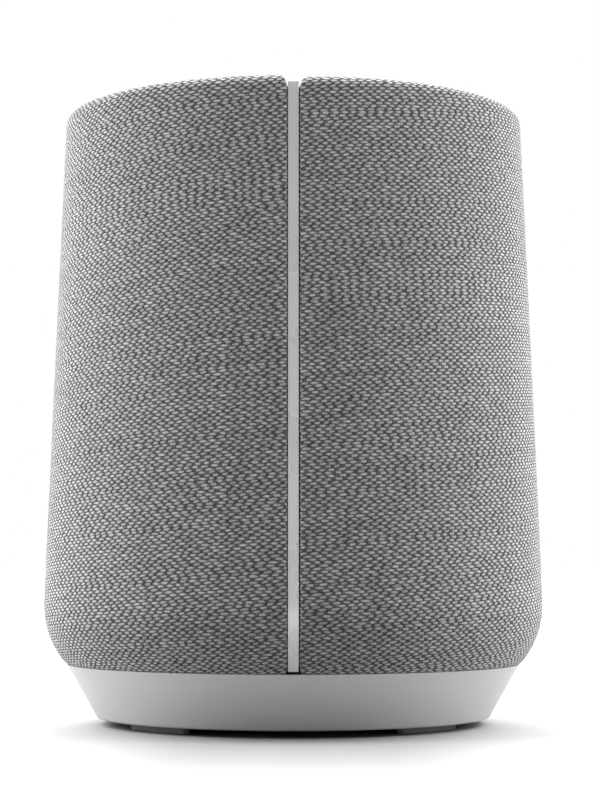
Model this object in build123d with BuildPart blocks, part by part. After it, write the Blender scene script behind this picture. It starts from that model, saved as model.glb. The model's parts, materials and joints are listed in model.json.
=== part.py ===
"""A fabric-covered tabletop smart speaker, as an assembly of separate pieces.

The body is a truncated cone that is widest low down, rolls in to its hem above a painted,
flared base, and ends at the top in a rounded lip round a sunken touch panel. Behind the
fabric stand a slotted grille frame and a sealed cabinet with a front-firing woofer and
tweeter. The fabric's two edges tuck into a channel down the back, under a metal spine.

Millimetres, +Z up, origin on the table under the middle. +Y is the front, towards the
listener; the spine is at the back, on -Y.
"""

from math import cos, hypot, radians, sin, sqrt, tan
import os

from build123d import *

# ---------------------------------------------------------------- driving dimensions
# Body outline, measured on the outside of the fabric
widest_r = 70.0
belly_rise = 17.2  # hem up to the widest point
body_taper = 2.7  # degrees that the flank leans in towards the top
cloth_height = 153.0  # top of the base to the top of the lip
hem_inset = 5.9  # the hem lies this far inside the widest radius
belly_reach = 0.95  # how far down its arc the belly is followed, in arc radii
lip_radius = 3.0
fabric_thick = 1.2
frame_wall = 2.4

# Base
base_top_z = 17.0
base_step = 0.5  # the base starts this far inside the hem
base_flare = 29.3  # degrees from the vertical
base_bottom_z = 2.0
base_wall = 2.6
base_edge_round = 0.9
flange_thick = 2.4
flange_width = 13.2
seal_thick = 0.3  # between the base and the body

# Seam and spine
spine_width = 2.7
spine_sink = 0.8  # how far the metal face lies under the fabric's face
spine_top_drop = 2.1  # from the top of the lip down to the end of the spine
seam_gap = 0.3  # fabric to spine, each side
flap_thick = 1.0
flap_depth = 5.2
groove_depth = 6.0
channel_wall = 1.6

# Cabinet and baffle
cabinet_gap = 2.4  # grille frame to cabinet
cabinet_wall = 3.0
top_bay = 20.0  # lip down to the top of the cabinet
harness_room = 1.8  # harness to the cabinet's flat back
baffle_set = 28.0  # widest radius in to the front face of the baffle
baffle_thick = 4.0
gasket_thick = 0.8
chassis_thick = 2.4
lug_height = 4.9
boss_r = 3.4
clear = 0.3  # between neighbours that don't clamp each other
bore_clear = 0.05  # radial clearance round a screw's shank

# Woofer: forward distances are measured from the baffle's front face
woofer_r = 44.5
woofer_rim = 5.9  # width of the screwed rim
surround_width = 5.6
coil_r = 9.5
coil_wall = 0.6
coil_gap = 0.5  # coil to the steel on either side of it
skin = 0.5  # surround, spider and dome thickness
basket_flange = 1.6
basket_lip = 1.6  # flange's overlap inward, under the surround's edge
magnet_inset = 8.0  # magnet smaller than the cone
magnet_thick = 11.0
plate_thick = 4.0
basket_depth = 24.0

# Tweeter
tweeter_r = 17.0
tweeter_cup_r = 14.0
tweeter_face = 2.0
tweeter_coil_r = 7.9
tweeter_dome_rise = 3.0

# Top
panel_recess = 4.8  # lip down to the touch surface
panel_thick = 2.4
ring_proud = 1.2  # trim ring above the touch surface
ring_wall = 2.4
carrier_thick = 2.0
board_thick = 1.6
tape_thick = 0.6
icon_reach = 34.0  # icon centres from the middle of the panel
icon_depth = 0.4
led_pitch = 6.0
led_r = 1.0
mic_spread = 20.0
board_lift = 3.0

# Underside
cover_thick = 2.2
cover_recess = 0.4  # rim down past the cover
ledge_wide = 5.6
ledge_thick = 4.0
bay_half_width = 25.0
bay_rear_y = -2.0
bay_front_y = 33.0
bay_drop = 1.4  # top of the base down to the bay's ceiling
bay_wall = 1.8
cord_way = 8.0  # width of the notch the power cord leaves by
cord_way_top = 6.8
foot_inset = 2.1  # cover's edge in to the feet
foot_width = 2.8
foot_angle = 49.0  # foot centres, either side of the front and of the rear
foot_span = 25.0
foot_sink = 1.0
inlet_half_width = 10.6
inlet_height = 10.4
inlet_depth = 17.0
socket_depth = 13.0
pin_pitch = 8.6
pin_r = 1.2
control_y = -34.0
control_x = 13.0
control_board_z = 7.0
button_r = 3.0
button_travel = 0.6
slider_travel = 2.4
shoulder = 1.0  # flange that keeps a button or slider in its hole

# Screws: head radius, head height, shank radius
M3 = (2.8, 1.8, 1.5)
M2 = (1.9, 1.3, 1.0)
M1 = (1.3, 0.9, 0.6)

# ---------------------------------------------------------------- derived sizes
taper = radians(body_taper)
flare = tan(radians(base_flare))
hem_z = base_top_z + seal_thick
widest_z = hem_z + belly_rise
body_height = base_top_z + cloth_height
hem_r = widest_r - hem_inset
base_top_r = hem_r - base_step
flange_inner_r = base_top_r - flange_width
hem_dr, hem_dz = hem_r - widest_r, hem_z - widest_z
belly_radius = -hypot(hem_dr, hem_dz) ** 2 / (2 * (hem_dr * cos(taper) + hem_dz * sin(taper)))
belly_r = widest_r - belly_radius * cos(taper)
belly_z = widest_z - belly_radius * sin(taper)
lip_z = body_height - lip_radius
lip_r = widest_r - (lip_radius + (lip_z - widest_z) * sin(taper)) / cos(taper)
frame_inset = fabric_thick + frame_wall
cabinet_inset = frame_inset + cabinet_gap
seam_half = spine_width / 2 + seam_gap
groove_half = seam_half + flap_thick
channel_half = groove_half + channel_wall
channel_inset = groove_depth + channel_wall
chassis_bottom_z = hem_z + lug_height
chassis_z = chassis_bottom_z + chassis_thick
cabinet_top_z = body_height - top_bay
baffle_y = widest_r - baffle_set
cabinet_front = baffle_y - baffle_thick - gasket_thick
panel_z = body_height - panel_recess
panel_low = panel_z - panel_thick
panel_r = lip_r - lip_radius - 2 * clear - ring_wall
ring_in = panel_r + clear
ring_out = ring_in + ring_wall
touch_board_z = panel_low - tape_thick
carrier_z = touch_board_z - board_thick
carrier_low = carrier_z - carrier_thick
main_board_z = cabinet_top_z + board_lift
tuck_z = carrier_z + 2.2  # bottom of the fabric's turned-in edge
neck_z = tuck_z - 1.0
channel_top = carrier_z - clear
cover_z = base_bottom_z + cover_recess
cover_top_z = cover_z + cover_thick
slope_wall = base_wall / cos(radians(base_flare))
cover_r = base_top_r - (base_top_z - cover_z) * flare - slope_wall - clear
ledge_r = cover_r - ledge_wide
foot_outer_r = cover_r - foot_inset
bay_ceiling_z = base_top_z - bay_drop
inlet_low_z = cover_top_z + clear
inlet_high_z = inlet_low_z + inlet_height
power_top_z = chassis_bottom_z - board_lift
power_board_z = power_top_z - board_thick
surround_r = woofer_r - woofer_rim
cone_r = surround_r - surround_width
magnet_r = cone_r - magnet_inset
yoke_r = magnet_r - 1.0
woofer_z = chassis_z + woofer_r + 3 * clear
tweeter_z = cabinet_top_z - tweeter_r - 0.5
coil_out = coil_r + coil_wall
plate_back = -basket_depth - basket_flange - plate_thick
magnet_back = plate_back - magnet_thick
far = 4 * widest_r  # long enough to cut through everything
os.makedirs("parts", exist_ok=True)


# ---------------------------------------------------------------- helpers
def flank_r(z, inset):
    """Radius of the straight flank at height z, moved in by inset."""
    return widest_r - (inset + (z - widest_z) * sin(taper)) / cos(taper)


def belly_end(inset):
    """Where the rounded belly meets the flank, as (r, z)."""
    radius = belly_radius - inset
    return belly_r + radius * cos(taper), belly_z + radius * sin(taper)


def body_r(z, inset):
    """Radius of the body at height z, moved in by inset."""
    if z >= belly_end(inset)[1]:
        return flank_r(z, inset)
    # a deep inset ends before its arc turns under the belly
    radius = belly_radius - inset
    drop = min(belly_z - z, belly_reach * radius)
    return belly_r + sqrt(radius**2 - drop**2)


def base_r(z):
    """Outer radius of the base at height z."""
    return base_top_r - (base_top_z - z) * flare


def outline(inset, low, high):
    """Draws the body's outline from height low to high, and returns its two ends."""
    start, end, joint = (body_r(low, inset), low), (flank_r(high, inset), high), belly_end(inset)
    if low >= joint[1]:
        Line(start, end)
    else:
        middle_z = (low + joint[1]) / 2
        ThreePointArc(start, (body_r(middle_z, inset), middle_z), joint)
        Line(joint, end)
    return start, end


def lip_arc(inset):
    """Draws the lip from the flank over the top, and returns its inner end."""
    radius = lip_radius - inset
    end = (lip_r - radius, lip_z)
    ThreePointArc(lip_start(inset), (lip_r, lip_z + radius), end)
    return end


def lip_start(inset):
    """Where the flank meets the rounded lip, as (r, z)."""
    radius = lip_radius - inset
    return lip_r + radius * cos(taper), lip_z + radius * sin(taper)


def skin_profile(outer, inner, tuck, low_end):
    """Half-section of a skin that follows the outline and the lip and turns down inside it."""
    with BuildSketch(Plane.XZ) as profile:
        with BuildLine():
            start_a, _ = outline(outer, hem_z, lip_start(outer)[1])
            end_a = lip_arc(outer)
            if low_end is None:
                start_b, _ = outline(inner, hem_z, lip_start(inner)[1])
                end_b = lip_arc(inner)
                Polyline(end_a, (end_a[0], tuck), (end_b[0], tuck), end_b)
            else:
                start_b, end_b = outline(inner, hem_z, low_end)
                Polyline(end_a, (end_a[0], tuck), end_b)
            Line(start_a, start_b)
        make_face()
    return profile.sketch


def ring_profile(outer, inner, low, high):
    """Half-section between two insets of the outline; inner None fills to the axis."""
    with BuildSketch(Plane.XZ) as profile:
        with BuildLine():
            a, b = outline(outer, low, high)
            if inner is None:
                Polyline(a, (0, low), (0, high), b)
            else:
                c, d = outline(inner, low, high)
                Line(a, c)
                Line(b, d)
        make_face()
    return profile.sketch


def box_of(x, y, z):
    """A box given as three (low, high) pairs."""
    size = [high - low for low, high in (x, y, z)]
    middle = [(low + high) / 2 for low, high in (x, y, z)]
    return Solid.make_box(*size).moved(Location([m - s / 2 for m, s in zip(middle, size)]))


def slab(outer, inner, low, high, x=(-far, far), y=(-far, far)):
    """The part of a ring of the body's outline that lies inside an x, y box."""
    with BuildPart() as piece:
        revolve(ring_profile(outer, inner, low, high), axis=Axis.Z)
        add(box_of(x, y, (0, far)), mode=Mode.INTERSECT)
    return piece.part


def turned(points):
    """Turns a closed outline of (radius, height) points about the Z axis."""
    with BuildSketch(Plane.XZ) as profile:
        with BuildLine():
            Polyline(*points, close=True)
        make_face()
    revolve(profile.sketch, axis=Axis.Z)


def driver_turned(z, points, mode=Mode.ADD):
    """Turns a closed outline of (radius, forward) points about a driver's axis."""
    plane = Plane(origin=(0, baffle_y, z), x_dir=(0, 0, 1), z_dir=(-1, 0, 0))
    with BuildSketch(plane) as profile:
        with BuildLine():
            Polyline(*points, close=True)
        make_face()
    revolve(profile.sketch, axis=Axis((0, baffle_y, z), (0, 1, 0)), mode=mode)


def driver_tube(z, inner, outer, back, front):
    """A ring about a driver's axis; inner 0 makes a disc."""
    driver_turned(z, [(inner, back), (outer, back), (outer, front), (inner, front)])


def upright(places, radius, low, high, mode=Mode.ADD):
    """Upright cylinders at (x, y) places."""
    with Locations(*[(x, y, low) for x, y in places]):
        Cylinder(radius, high - low, align=(Align.CENTER, Align.CENTER, Align.MIN), mode=mode)


def bores(places, radius, length, back=0.0):
    """Round holes that start `back` behind each place and run along its z."""
    with Locations(*[place * Pos(0, 0, -back) for place in places]):
        Cylinder(
            radius, length + back, align=(Align.CENTER, Align.CENTER, Align.MIN), mode=Mode.SUBTRACT
        )


def on_circle(angles, radius):
    """(x, y) places on a circle."""
    return [(radius * cos(radians(a)), radius * sin(radians(a))) for a in angles]


def facing_up(places, z):
    """Places for screws that are driven upward from height z."""
    return [Location((x, y, z)) for x, y in places]


def facing_down(places, z):
    """Places for screws that are driven downward from height z."""
    return [Location((x, y, z), (180, 0, 0)) for x, y in places]


def facing_in(places, y):
    """Places for screws that are driven backward from a plane at y, at (x, z)."""
    return [Plane(origin=(x, y, z), x_dir=(1, 0, 0), z_dir=(0, -1, 0)).location for x, z in places]


def screws(name, places, size, length):
    """Cross-head screws whose heads sit at each place, with shanks along its z."""
    head_r, head_h, shank_r = size
    with BuildPart() as group:
        with Locations(*places):
            Cylinder(shank_r, length, align=(Align.CENTER, Align.CENTER, Align.MIN))
        with Locations(*[place * Pos(0, 0, -head_h) for place in places]):
            Cylinder(head_r, head_h, align=(Align.CENTER, Align.CENTER, Align.MIN))
            for turn in (0, 90):
                Box(1.2 * head_r, 0.3 * head_r, head_h, rotation=(0, 0, turn), mode=Mode.SUBTRACT)
    save(group, name)


def save(piece, name):
    """Labels a finished piece and writes its STEP file."""
    piece.part.label = name
    export_step(piece.part, f"parts/{name}.step")


# ---------------------------------------------------------------- shared places
diagonals = (45, 135, 225, 315)
clamp_xy = on_circle(diagonals, flange_inner_r + 4.1)
cabinet_xy = on_circle(diagonals, 38.0)
carrier_xy = on_circle(diagonals, 44.0)
cover_xy = on_circle((0, 70, 110, 180, 255, 285), ledge_r + 2.4)
board_xy = [(sx * 36.0, sy * 17.0) for sx in (-1, 1) for sy in (-1, 1)]
power_xy = [(sx * 27.0, y) for sx in (-1, 1) for y in (-8.0, -39.0)]
gland_xy = [(-30.0, 8.0), (30.0, 8.0)]
wire_r = 1.2
gland_r = wire_r + 1.4
harness_r = 1.8
harness_gap = 0.4  # harness to the frame beside it
harness_x = 16.0
harness_reach = sqrt(flank_r(cabinet_top_z, frame_inset) ** 2 - harness_x**2)
harness_xy = (harness_x, harness_r + harness_gap - harness_reach)
rear_flat_y = harness_xy[1] + harness_r + harness_room
mic_xy = [(side * mic_spread, icon_reach) for side in (-1, 1)]
led_xy = [((i - 1.5) * led_pitch, 0.0) for i in range(4)]
spine_heights = [widest_z + 10.0 + i * (cabinet_top_z - widest_z - 20.0) / 2 for i in range(3)]
spine_places = [facing_in([(0, z)], 0.1 - flank_r(z, channel_inset))[0] for z in spine_heights]
baffle_rows = (chassis_z + 8.0, (woofer_z + woofer_r + tweeter_z - tweeter_r) / 2, cabinet_top_z - 6)
baffle_xz = [
    (side * (sqrt(body_r(z, cabinet_inset) ** 2 - baffle_y**2) - 5.5), z)
    for z in baffle_rows
    for side in (-1, 1)
]
baffle_places = facing_in(baffle_xz, baffle_y)
woofer_xz = [(x, woofer_z + z) for x, z in on_circle(diagonals, (woofer_r + surround_r) / 2 + 0.2)]
tweeter_xz = [(x, tweeter_z + z) for x, z in on_circle((90, 210, 330), tweeter_r - 1.5)]
woofer_places = facing_in(woofer_xz, baffle_y + basket_flange)
tweeter_places = facing_in(tweeter_xz, baffle_y + tweeter_face)

# ---------------------------------------------------------------- skin and frame
seam_flaps = slab(fabric_thick / 2, flap_depth, hem_z, lip_z, (-groove_half, groove_half), (-far, 0))
seam_slot = box_of((-seam_half, seam_half), (-far, 0), (0, far))
with BuildPart() as fabric_sleeve:
    revolve(skin_profile(0, fabric_thick, tuck_z, None), axis=Axis.Z)
    add(seam_flaps)
    add(seam_slot, mode=Mode.SUBTRACT)
save(fabric_sleeve, "fabric_sleeve")

channel = slab(
    fabric_thick + 0.4, channel_inset, hem_z, channel_top, (-channel_half, channel_half), (-far, 0)
)
groove = slab(-1, groove_depth, hem_z, channel_top, (-groove_half, groove_half), (-far, 0))
lug_ring = [
    (flange_inner_r + clear, hem_z), (body_r(hem_z, frame_inset - 1), hem_z),
    (body_r(chassis_bottom_z, frame_inset - 1), chassis_bottom_z),
    (flange_inner_r + clear, chassis_bottom_z),
]
with BuildPart() as lugs:
    turned(lug_ring)
    with BuildSketch():
        for turn in (45, 135):
            Rectangle(far, 9.0, rotation=turn)
    extrude(amount=far, mode=Mode.INTERSECT)
slot_rows, slot_columns, slot_width, slot_web = 6, 26, 7.0, 4.5
slot_low, slot_high = widest_z + 2.0, neck_z - 9.0
slot_step = (slot_high - slot_low) / slot_rows
with BuildPart() as grille_frame:
    revolve(skin_profile(fabric_thick, frame_inset, neck_z, neck_z), axis=Axis.Z)
    add(lugs.part)
    add(channel)
    add(groove, mode=Mode.SUBTRACT)
    add(box_of((-groove_half, groove_half), (-far, 0), (channel_top, far)), mode=Mode.SUBTRACT)
    bores(facing_up(clamp_xy, 0), M3[2] + bore_clear, far / 4)
    bores(spine_places, M1[2] + bore_clear, channel_wall + 1, back=1)
    # sound slots round all but the rear
    for column in range(slot_columns):
        angle = radians(-60 + column * 300 / (slot_columns - 1))
        spoke = Plane(
            origin=(0, 0, 0), x_dir=(-sin(angle), cos(angle), 0), z_dir=(cos(angle), sin(angle), 0)
        )
        with BuildSketch(spoke.offset(lip_r - 12)):
            with Locations(*[(0, slot_low + (row + 0.5) * slot_step) for row in range(slot_rows)]):
                SlotOverall(slot_step - slot_web, slot_width, rotation=90)
        extrude(amount=far / 8, mode=Mode.SUBTRACT)
save(grille_frame, "grille_frame")

spine_top_z = body_height - spine_top_drop
with BuildPart() as rear_spine:
    add(
        slab(
            spine_sink, groove_depth, hem_z + 0.4, spine_top_z,
            (-spine_width / 2, spine_width / 2), (-far, 0),
        )
    )
    bores(spine_places, M1[2] + bore_clear, channel_wall + 3.6)
save(rear_spine, "rear_spine")
screws("spine_screws", spine_places, M1, channel_wall + 3.4)

# ---------------------------------------------------------------- top
frame_in = flank_r(carrier_z, frame_inset) - clear
channel_cut = box_of((-channel_half - clear, channel_half + clear), (-far, -ring_out), (0, far))
with BuildPart() as top_ring:
    turned(
        [
            (ring_in, carrier_z), (frame_in, carrier_z), (frame_in, neck_z - clear),
            (ring_out, neck_z - clear), (ring_out, panel_z + ring_proud),
            (ring_in, panel_z + ring_proud),
        ]
    )
    chamfer(top_ring.edges().group_by(Axis.Z)[-1], 0.6)
    add(channel_cut, mode=Mode.SUBTRACT)
save(top_ring, "top_ring")

with BuildSketch(Plane.XY.offset(panel_z - icon_depth)) as icons:
    with Locations((icon_reach, 0)):
        Rectangle(8.0, 1.1)
        Rectangle(1.1, 8.0)
    with Locations((-icon_reach, 0)):
        Rectangle(8.0, 1.1)
    with Locations((0, -icon_reach)):
        RegularPolygon(3.6, 3)
with BuildPart() as touch_icons:
    extrude(icons.sketch, amount=icon_depth)
save(touch_icons, "touch_icons")

with BuildPart() as top_panel:
    upright([(0, 0)], panel_r, panel_low, panel_z)
    chamfer(top_panel.edges().group_by(Axis.Z)[-1], 0.4)
    extrude(icons.sketch, amount=icon_depth, mode=Mode.SUBTRACT)
    upright(led_xy, led_r + bore_clear, panel_low, panel_z, Mode.SUBTRACT)
    upright(mic_xy, 0.6, panel_low, panel_z, Mode.SUBTRACT)
save(top_panel, "top_panel")

with BuildPart() as led_light_guide:
    # four rods on one bar, moulded together
    with BuildSketch(Plane.XY.offset(touch_board_z)):
        Rectangle(3 * led_pitch + 2 * led_r + 1.6, 2 * led_r + 1.6)
    extrude(amount=tape_thick)
    upright(led_xy, led_r, touch_board_z, panel_z)
save(led_light_guide, "led_light_guide")

with BuildPart() as mic_gaskets:
    upright(mic_xy, 2.6, touch_board_z, panel_low)
    upright(mic_xy, 0.8, touch_board_z, panel_low, Mode.SUBTRACT)
save(mic_gaskets, "mic_gaskets")

touch_board_r = panel_r - 2.5
with BuildPart() as panel_tape:
    upright([(0, 0)], touch_board_r, touch_board_z, panel_low)
    upright([(0, 0)], touch_board_r - 3.4, touch_board_z, panel_low, Mode.SUBTRACT)
save(panel_tape, "panel_tape")

with BuildPart() as touch_board:
    upright([(0, 0)], touch_board_r, carrier_z, touch_board_z)
    upright(carrier_xy, M2[0] + clear, carrier_z, touch_board_z, Mode.SUBTRACT)
save(touch_board, "touch_board")

with BuildPart() as top_carrier:
    upright([(0, 0)], frame_in, carrier_low, carrier_z)
    with BuildSketch(Plane.XY.offset(carrier_low)):
        with GridLocations(30, 30, 2, 2):
            RectangleRounded(22, 22, 4)
    extrude(amount=carrier_thick, mode=Mode.SUBTRACT)
    upright(carrier_xy, boss_r, cabinet_top_z, carrier_low)
    add(channel_cut.moved(Location((0, ring_out - ring_in, 0))), mode=Mode.SUBTRACT)
    upright(carrier_xy, M2[2] + bore_clear, cabinet_top_z, carrier_z, Mode.SUBTRACT)
save(top_carrier, "top_carrier")
screws("top_screws", facing_down(carrier_xy, carrier_z), M2, carrier_z - cabinet_top_z + 5.0)

# ---------------------------------------------------------------- cabinet
cavity_low, cavity_high = chassis_z + cabinet_wall, cabinet_top_z - cabinet_wall
# ribs that join the baffle's bosses to the side walls
ribs = [
    box_of(sorted((x, x + (far if x > 0 else -far))), (cabinet_front - 10.0, baffle_y), (z - 1.5, z + 1.5))
    for x, z in baffle_xz
]
with BuildPart() as cavity:
    add(
        slab(
            cabinet_inset + cabinet_wall, None, cavity_low, cavity_high,
            y=(rear_flat_y + cabinet_wall, cabinet_front),
        )
    )
    # bosses stay standing in the cavity
    bores(baffle_places, boss_r, baffle_thick + gasket_thick + 10.0)
    add(ribs, mode=Mode.SUBTRACT)
    upright(cabinet_xy, boss_r + 0.8, cavity_low, cavity_low + 7.0, Mode.SUBTRACT)
    upright(carrier_xy, boss_r, cavity_high - 5.0, cavity_high, Mode.SUBTRACT)
with BuildPart() as cabinet:
    add(slab(cabinet_inset, None, chassis_z, cabinet_top_z, y=(rear_flat_y, cabinet_front)))
    add(cavity.part, mode=Mode.SUBTRACT)
    bores(baffle_places, M2[2] + bore_clear, 13.0)
    upright(cabinet_xy, M3[2] + bore_clear, chassis_z, cavity_low + 5.5, Mode.SUBTRACT)
    upright(carrier_xy, M2[2] + bore_clear, cabinet_top_z - 6.0, cabinet_top_z, Mode.SUBTRACT)
    upright(gland_xy, gland_r, chassis_z, cavity_low, Mode.SUBTRACT)
    upright(board_xy, 2.4, cabinet_top_z, main_board_z)
    upright(board_xy, M2[2] + bore_clear, cabinet_top_z - 1.5, main_board_z, Mode.SUBTRACT)
save(cabinet, "cabinet")

with BuildPart() as wire_glands:
    upright(gland_xy, gland_r, chassis_z, cavity_low)
    upright(gland_xy, gland_r + 1.2, cavity_low, cavity_low + 1.4)
    upright(gland_xy, wire_r, chassis_z, cavity_low + 1.4, Mode.SUBTRACT)
save(wire_glands, "wire_glands")

with BuildPart() as chassis_plate:
    upright([(0, 0)], body_r(chassis_bottom_z, frame_inset) - clear, chassis_bottom_z, chassis_z)
    upright(power_xy, 2.6, power_top_z, chassis_bottom_z)
    add(channel_cut.moved(Location((0, 4.0, 0))), mode=Mode.SUBTRACT)
    for xy, radius in (
        (clamp_xy + cabinet_xy, M3[2] + bore_clear),
        (gland_xy + [harness_xy], gland_r),
        (power_xy, M2[2] + bore_clear),
    ):
        upright(xy, radius, power_top_z, chassis_z, Mode.SUBTRACT)
save(chassis_plate, "chassis_plate")
flange_low = base_top_z - flange_thick
screws(
    "chassis_screws",
    facing_up(cabinet_xy, chassis_bottom_z) + facing_up(clamp_xy, flange_low),
    M3,
    chassis_z - flange_low,
)

rim_inset = 0.2
gasket_y = (cabinet_front, cabinet_front + gasket_thick)
gasket_plate = slab(
    cabinet_inset + rim_inset, None, chassis_z + rim_inset, cabinet_top_z - rim_inset, y=gasket_y
)
with BuildPart() as gasket_window:
    add(slab(cabinet_inset + cabinet_wall, None, cavity_low, cavity_high, y=gasket_y))
    add(ribs, mode=Mode.SUBTRACT)
    bores(baffle_places, boss_r, baffle_thick + gasket_thick)
with BuildPart() as cabinet_gasket:
    add(gasket_plate)
    add(gasket_window.part, mode=Mode.SUBTRACT)
    bores(baffle_places, M2[2] + bore_clear, 13.0)
save(cabinet_gasket, "cabinet_gasket")

with BuildPart() as front_baffle:
    add(slab(cabinet_inset, None, chassis_z, cabinet_top_z, y=(baffle_y - baffle_thick, baffle_y)))
    for z, radius in ((woofer_z, surround_r + clear), (tweeter_z, tweeter_cup_r + clear)):
        bores(facing_in([(0, z)], baffle_y), radius, 2 * baffle_thick)
    bores(baffle_places + woofer_places, M2[2] + bore_clear, 13.0)
    bores(tweeter_places, M1[2] + bore_clear, 13.0)
save(front_baffle, "front_baffle")
screws("baffle_screws", baffle_places + woofer_places, M2, 12.0)

with BuildPart() as damping_pad:
    # wadding against the rear wall
    add(
        slab(
            cabinet_inset + cabinet_wall + clear, cabinet_inset + cabinet_wall + 12,
            cavity_low + 10.0, cavity_high - 10.0, y=(rear_flat_y + cabinet_wall + clear, -12.0),
        )
    )
save(damping_pad, "damping_pad")

# ---------------------------------------------------------------- woofer
def driver_dome(z, radius, seat, rise, thick):
    """A spherical cap that stands on its rim at seat and bulges forward by rise."""
    sphere_r = (radius**2 + rise**2) / (2 * rise)
    middle = facing_in([(0, z)], baffle_y + seat + rise - sphere_r)
    with Locations(*middle):
        Sphere(sphere_r)
        Sphere(sphere_r - thick, mode=Mode.SUBTRACT)
    add(box_of((-far, far), (baffle_y + seat, far), (0, far)), mode=Mode.INTERSECT)


neck_forward = -16.0  # where the cone meets its coil
spider_forward = 0.4 - basket_depth + 3.2
cone_thick = 0.8
pole_r = coil_r - coil_gap
plate_front = plate_back + plate_thick
flange_in = surround_r - basket_lip
basket_foot_out = surround_r - 10.6
basket_foot_in = basket_foot_out - basket_flange
hub_r = coil_out + 4.0
with BuildPart() as woofer_basket:
    driver_tube(woofer_z, flange_in, woofer_r, 0.0, basket_flange)
    driver_turned(
        woofer_z,
        [
            (flange_in, basket_flange), (surround_r, basket_flange), (surround_r, 0),
            (basket_foot_out, -basket_depth), (basket_foot_out, plate_front), (hub_r, plate_front),
            (hub_r, -basket_depth), (basket_foot_in - 2.6, -basket_depth),
            (basket_foot_in - 2.6, spider_forward), (basket_foot_in, spider_forward),
        ],
    )
    windows = [(x, woofer_z + z) for x, z in on_circle(range(0, 360, 60), cone_r)]
    bores(facing_in(windows, baffle_y - 2.2), 7.0, 14.0)
    bores(woofer_places, M2[2] + bore_clear, 4.0)
save(woofer_basket, "woofer_basket")

with BuildPart() as woofer_top_plate:
    driver_tube(woofer_z, coil_out + coil_gap, yoke_r, plate_back, plate_front)
save(woofer_top_plate, "woofer_top_plate")

with BuildPart() as woofer_magnet:
    driver_tube(woofer_z, coil_out + 3.4, magnet_r, magnet_back, plate_back)
save(woofer_magnet, "woofer_magnet")

with BuildPart() as woofer_yoke:
    driver_turned(
        woofer_z,
        [
            (0, magnet_back - plate_thick), (yoke_r, magnet_back - plate_thick),
            (yoke_r, magnet_back), (pole_r, magnet_back), (pole_r, plate_front), (0, plate_front),
        ],
    )
save(woofer_yoke, "woofer_yoke")

with BuildPart() as woofer_coil:
    driver_tube(woofer_z, coil_r, coil_out, plate_back - 3.0, neck_forward)
save(woofer_coil, "woofer_coil")

cone_edge = basket_flange - cone_thick
with BuildPart() as woofer_cone:
    driver_turned(
        woofer_z,
        [
            (coil_out, neck_forward - 1.4 * cone_thick), (coil_out + 0.8, neck_forward - 1.4 * cone_thick),
            (cone_r, cone_edge), (cone_r, basket_flange), (coil_out, neck_forward),
        ],
    )
save(woofer_cone, "woofer_cone")

cap_r = coil_out + 0.214 * (cone_r - coil_out)
cap_seat = neck_forward + (cap_r - coil_out) * (basket_flange - neck_forward) / (cone_r - coil_out)
with BuildPart() as woofer_dust_cap:
    driver_dome(woofer_z, cap_r, cap_seat, 5.0, 0.7)
save(woofer_dust_cap, "woofer_dust_cap")

# half roll between the cone's edge and the flange
roll_r = (flange_in - cone_r) / 2
roll_mid = cone_r + roll_r
sweep_angles = range(180, -1, -15)
inner_roll = [
    (roll_mid + (roll_r - skin) * cos(radians(a)), basket_flange + (roll_r - skin) * sin(radians(a)))
    for a in sweep_angles
]
outer_roll = [
    (roll_mid + roll_r * cos(radians(a)), basket_flange + roll_r * sin(radians(a)))
    for a in reversed(sweep_angles[:-2])
]
with BuildPart() as woofer_surround:
    driver_turned(
        woofer_z,
        [(cone_r, cone_edge), (cone_r + skin, cone_edge)]
        + inner_roll
        + [(surround_r, basket_flange), (surround_r, basket_flange + skin)]
        + outer_roll,
    )
save(woofer_surround, "woofer_surround")

with BuildPart() as woofer_spider:
    # corrugated disc
    crest, steps = 0.7, 8
    reach = (basket_foot_in - coil_out - 0.4) / steps
    front_face = [
        (coil_out + i * reach, spider_forward + skin + (crest if i % 2 else 0)) for i in range(steps + 1)
    ]
    back_face = [(r, forward - skin) for r, forward in reversed(front_face)]
    driver_turned(woofer_z, front_face + back_face)
save(woofer_spider, "woofer_spider")

# ---------------------------------------------------------------- tweeter
tweeter_out = tweeter_coil_r + coil_wall
tweeter_pole_r = tweeter_coil_r - coil_gap
cup_in = tweeter_out + 2.5
cup_back, cup_front = -14.0, -1.0
cup_floor = cup_back + 2.0
washer_back, washer_front = -7.0, -4.0
dome_seat = cup_front - skin
with BuildPart() as tweeter_faceplate:
    driver_turned(
        tweeter_z,
        [
            (cup_in - 0.6, 0.0), (cup_in - 0.6, cup_front), (tweeter_cup_r, cup_front),
            (tweeter_cup_r, 0.0), (tweeter_r, 0.0), (tweeter_r, tweeter_face),
            (cup_in + 0.8, tweeter_face),
        ],
    )
    bores(tweeter_places, M1[2] + bore_clear, 4.0)
save(tweeter_faceplate, "tweeter_faceplate")
screws("tweeter_screws", tweeter_places, M1, tweeter_face + baffle_thick)

with BuildPart() as tweeter_cup:
    # steel cup with its front washer
    driver_turned(
        tweeter_z,
        [
            (0, cup_back), (tweeter_cup_r, cup_back), (tweeter_cup_r, cup_front), (cup_in, cup_front),
            (cup_in, washer_front), (tweeter_out + coil_gap, washer_front),
            (tweeter_out + coil_gap, washer_back), (cup_in, washer_back), (cup_in, cup_floor),
            (0, cup_floor),
        ],
    )
save(tweeter_cup, "tweeter_cup")

with BuildPart() as tweeter_magnet:
    driver_tube(tweeter_z, 0, tweeter_pole_r - 0.4, cup_floor, washer_back)
save(tweeter_magnet, "tweeter_magnet")

with BuildPart() as tweeter_pole:
    driver_tube(tweeter_z, 0, tweeter_pole_r, washer_back, washer_front)
save(tweeter_pole, "tweeter_pole")

with BuildPart() as tweeter_coil:
    driver_tube(tweeter_z, tweeter_coil_r, tweeter_out, washer_back - 1.0, dome_seat)
save(tweeter_coil, "tweeter_coil")

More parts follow.
